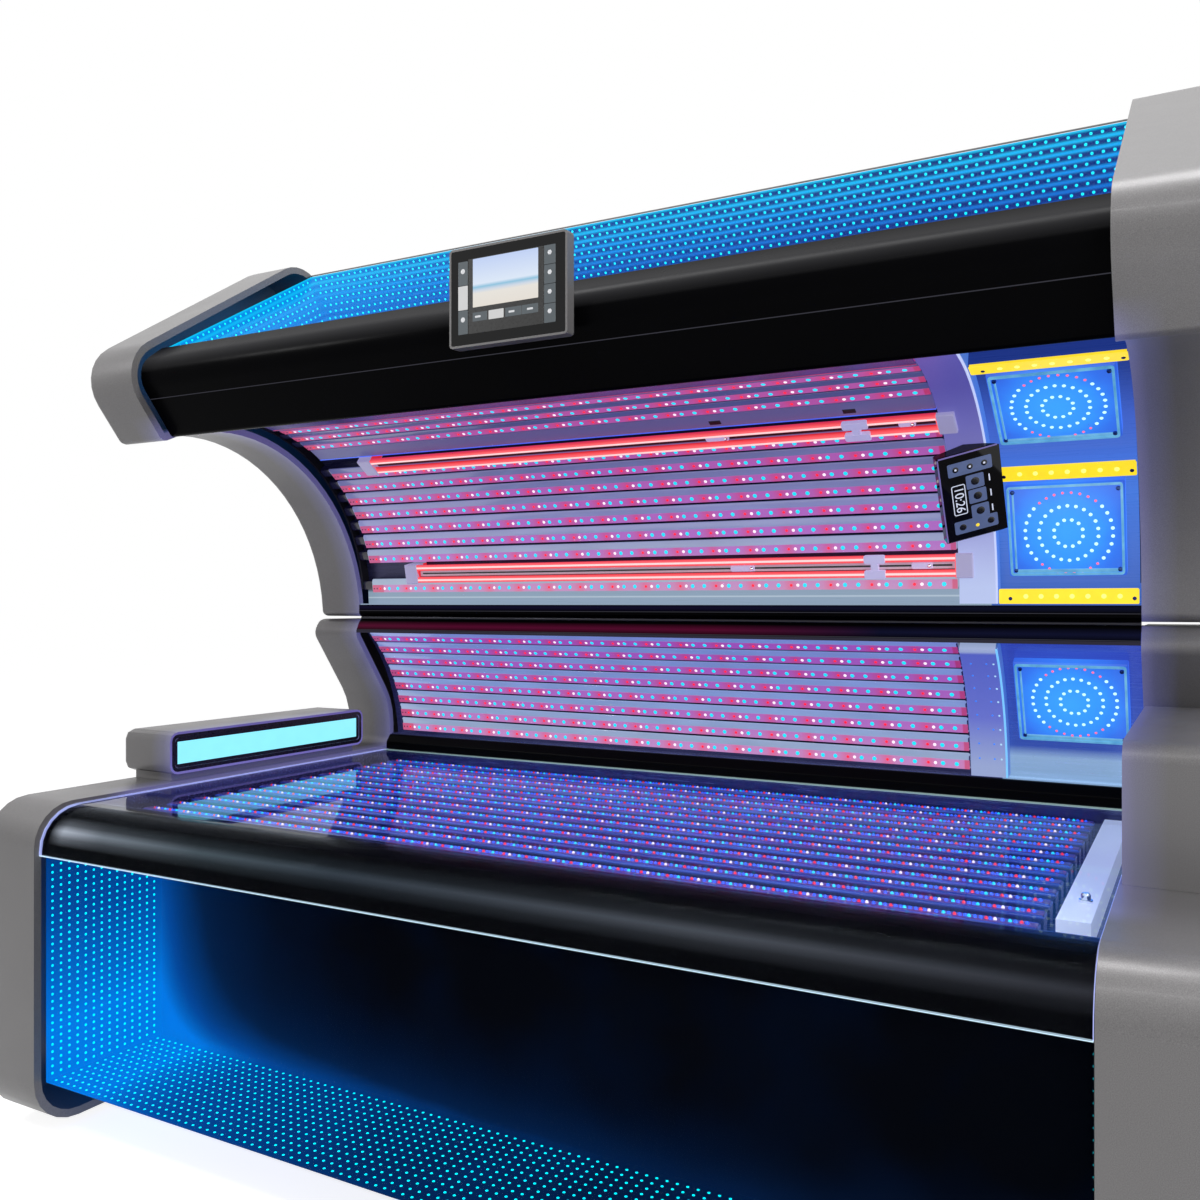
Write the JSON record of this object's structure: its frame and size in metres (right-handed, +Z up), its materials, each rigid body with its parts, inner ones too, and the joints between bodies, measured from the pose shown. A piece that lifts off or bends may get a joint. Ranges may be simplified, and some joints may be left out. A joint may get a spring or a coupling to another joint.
{
  "type": "tanning bed",
  "caption": "Lie-down tanning bed with a clear lamp bench, a side lamp wall and an LED lamp canopy that swings down on a rear hinge, with light boxes behind half mirrors.",
  "frame": {"origin": "on the floor, under the middle of the bed's box", "axes": "+Z up, +X to the head end with the face lights, -Y to the front where the user gets in"},
  "size_m": [2.27, 1.42, 1.9587],
  "materials": {
    "silver_paint": "warm silver metallic paint, satin",
    "black_gloss": "black gloss",
    "hinge_metal": "black anodised",
    "frame_metal": "grey coated",
    "dark_housing": "dark moulded",
    "chrome": "polished",
    "mirror_glass": "half mirror",
    "light_box": "blue lit lining",
    "reflector": "polished sheet under blue light",
    "lamp": "clear cover over a lit board",
    "red_lamp": "lit red tube",
    "face_light": "blue lit box with a clear cover",
    "pale_plastic": "pale moulded",
    "clear_acrylic": "clear",
    "lit_lens": "lit cyan diffuser",
    "rubber": "matte"
  },
  "bodies": {
    "base": {"base_end_cap_left": "silver_paint", "base_end_cap_right": "silver_paint", "base_rear_cover": "silver_paint", "head_console": "silver_paint", "sign_housing": "silver_paint", "bench_bumper": "black_gloss", "bench_hinge_rail": "black_gloss", "lower_hinge_rail": "hinge_metal", "base_frame": "frame_metal", "blower_housing": "dark_housing", "power_supply": "dark_housing", "mist_nozzle": "chrome", "hinge_rod": "chrome", "front_mirror_glass": "mirror_glass", "front_light_box": "light_box", "bench_lamp_tray": "reflector", "side_lamp_tray": "reflector", "side_face_light": "face_light", "bench_head_strip": "pale_plastic", "side_divider": "pale_plastic", "sign_lens": "lit_lens", "foot_front_left": "rubber", "foot_front_right": "rubber", "foot_rear_left": "rubber", "foot_rear_right": "rubber"},
    "canopy": {"canopy_end_cap_left": "silver_paint", "canopy_end_cap_right": "silver_paint", "canopy_rear_shell": "silver_paint", "canopy_front_rail": "black_gloss", "canopy_light_box": "light_box", "canopy_mirror_glass": "mirror_glass", "canopy_lamp_tray": "reflector", "canopy_divider": "pale_plastic", "upper_hinge_rail": "hinge_metal", "red_light_pair_lower": "red_lamp", "red_light_pair_upper": "red_lamp", "face_light_lower": "face_light", "face_light_upper": "face_light", "inner_control_panel": "black_gloss", "display_housing": "silver_paint", "display_glass": "black_gloss", "canopy_lamp_01": "lamp", "canopy_lamp_02": "lamp", "canopy_lamp_03": "lamp", "canopy_lamp_04": "lamp", "canopy_lamp_05": "lamp", "canopy_lamp_06": "lamp", "canopy_lamp_07": "lamp", "canopy_lamp_08": "lamp", "canopy_lamp_09": "lamp", "canopy_lamp_10": "lamp", "canopy_lamp_11": "lamp", "canopy_lamp_12": "lamp", "canopy_lamp_13": "lamp", "canopy_lamp_14": "lamp", "canopy_lamp_15": "lamp"},
    "bench_acrylic": {"bench_acrylic": "clear_acrylic"},
    "blower_rotor": {"blower_rotor": "black_gloss"},
    "lift_tube": {"lift_actuator_tube": "frame_metal"},
    "lift_rod": {"lift_actuator_rod": "chrome"}
  },
  "joints": [
    {"name": "canopy_hinge", "type": "hinge", "parent": "base", "child": "canopy", "pos_m": [0, 0.27, 1.0505], "axis": [-1, 0, 0], "range_deg": [-36, 0]},
    {"name": "bench_acrylic_lift", "type": "hinge", "parent": "base", "child": "bench_acrylic", "pos_m": [0, 0.362, 0.672], "axis": [-1, 0, 0], "range_deg": [0, 15]},
    {"name": "blower_spin", "type": "hinge", "parent": "base", "child": "blower_rotor", "pos_m": [-0.3003, 0.06, 0.2283], "axis": [1, 0, 0], "continuous": true},
    {"name": "lift_swing", "type": "hinge", "parent": "base", "child": "lift_tube", "pos_m": [0, 0.58, 0.48], "axis": [-1, 0, 0], "range_deg": [-5.8, 0]},
    {"name": "lift_extend", "type": "slide", "parent": "lift_tube", "child": "lift_rod", "axis": [0, -0.2017, 0.9795], "range_m": [0, 0.102]}
  ],
  "couplings": [
    {"joint": "lift_swing", "follows": "canopy_hinge", "ratio": 0.15821},
    {"joint": "lift_extend", "follows": "canopy_hinge", "m_per_rad": -0.16049}
  ]
}
